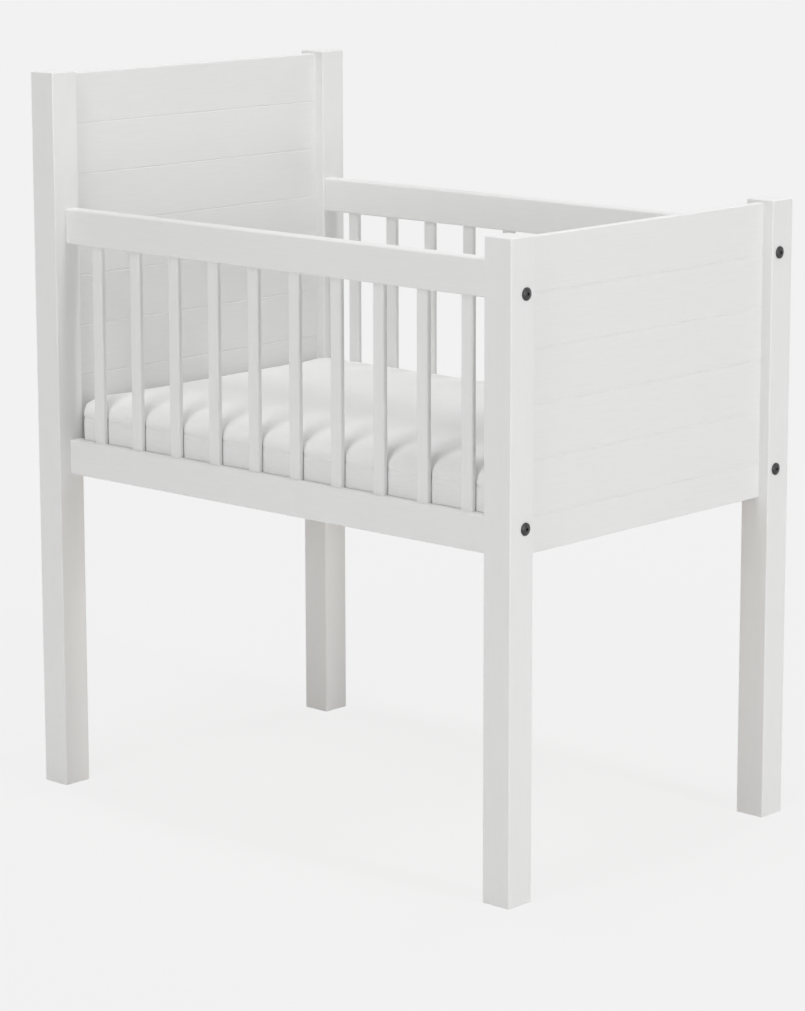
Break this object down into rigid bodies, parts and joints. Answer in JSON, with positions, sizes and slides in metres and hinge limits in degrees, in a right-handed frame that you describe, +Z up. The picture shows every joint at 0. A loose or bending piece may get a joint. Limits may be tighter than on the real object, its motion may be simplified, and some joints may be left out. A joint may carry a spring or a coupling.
{
  "type": "cradle",
  "caption": "Baby cradle on four tall square posts, with a high boarded head panel, a lower foot panel, slatted sides and a thin mattress.",
  "frame": {"origin": "on the floor under the middle of the cradle, in the plane of the posts' feet", "axes": "+Z up, +X from the head end to the foot end, +Y from the near side to the far side"},
  "size_m": [0.8976, 0.59, 1.03],
  "materials": {
    "white_paint": "satin white paint on wood",
    "bare_pine": "bare planed pine",
    "black_steel": "black coated steel",
    "zinc_steel": "zinc plated steel",
    "white_cotton": "matte woven cotton cover"
  },
  "bodies": {
    "root": {"post_head_near": "white_paint", "post_head_far": "white_paint", "post_foot_near": "white_paint", "post_foot_far": "white_paint", "head_panel": "white_paint", "foot_panel": "white_paint", "top_rail_near": "white_paint", "top_rail_far": "white_paint", "low_rail_near": "white_paint", "low_rail_far": "white_paint", "slat_near_01": "white_paint", "slat_near_02": "white_paint", "slat_near_03": "white_paint", "slat_near_04": "white_paint", "slat_near_05": "white_paint", "slat_near_06": "white_paint", "slat_near_07": "white_paint", "slat_near_08": "white_paint", "slat_near_09": "white_paint", "slat_near_10": "white_paint", "slat_far_01": "white_paint", "slat_far_02": "white_paint", "slat_far_03": "white_paint", "slat_far_04": "white_paint", "slat_far_05": "white_paint", "slat_far_06": "white_paint", "slat_far_07": "white_paint", "slat_far_08": "white_paint", "slat_far_09": "white_paint", "slat_far_10": "white_paint", "ledge_near": "bare_pine", "ledge_far": "bare_pine", "base_slat_1": "bare_pine", "base_slat_2": "bare_pine", "base_slat_3": "bare_pine", "base_slat_4": "bare_pine", "base_slat_5": "bare_pine", "base_slat_6": "bare_pine", "base_slat_7": "bare_pine", "base_slat_8": "bare_pine", "bolt_head_near_top": "black_steel", "bolt_head_near_low": "black_steel", "bolt_head_far_top": "black_steel", "bolt_head_far_low": "black_steel", "bolt_foot_near_top": "black_steel", "bolt_foot_near_low": "black_steel", "bolt_foot_far_top": "black_steel", "bolt_foot_far_low": "black_steel", "insert_head_near_top": "zinc_steel", "insert_head_near_low": "zinc_steel", "insert_head_far_top": "zinc_steel", "insert_head_far_low": "zinc_steel", "insert_foot_near_top": "zinc_steel", "insert_foot_near_low": "zinc_steel", "insert_foot_far_top": "zinc_steel", "insert_foot_far_low": "zinc_steel", "mattress": "white_cotton"}
  },
  "joints": []
}
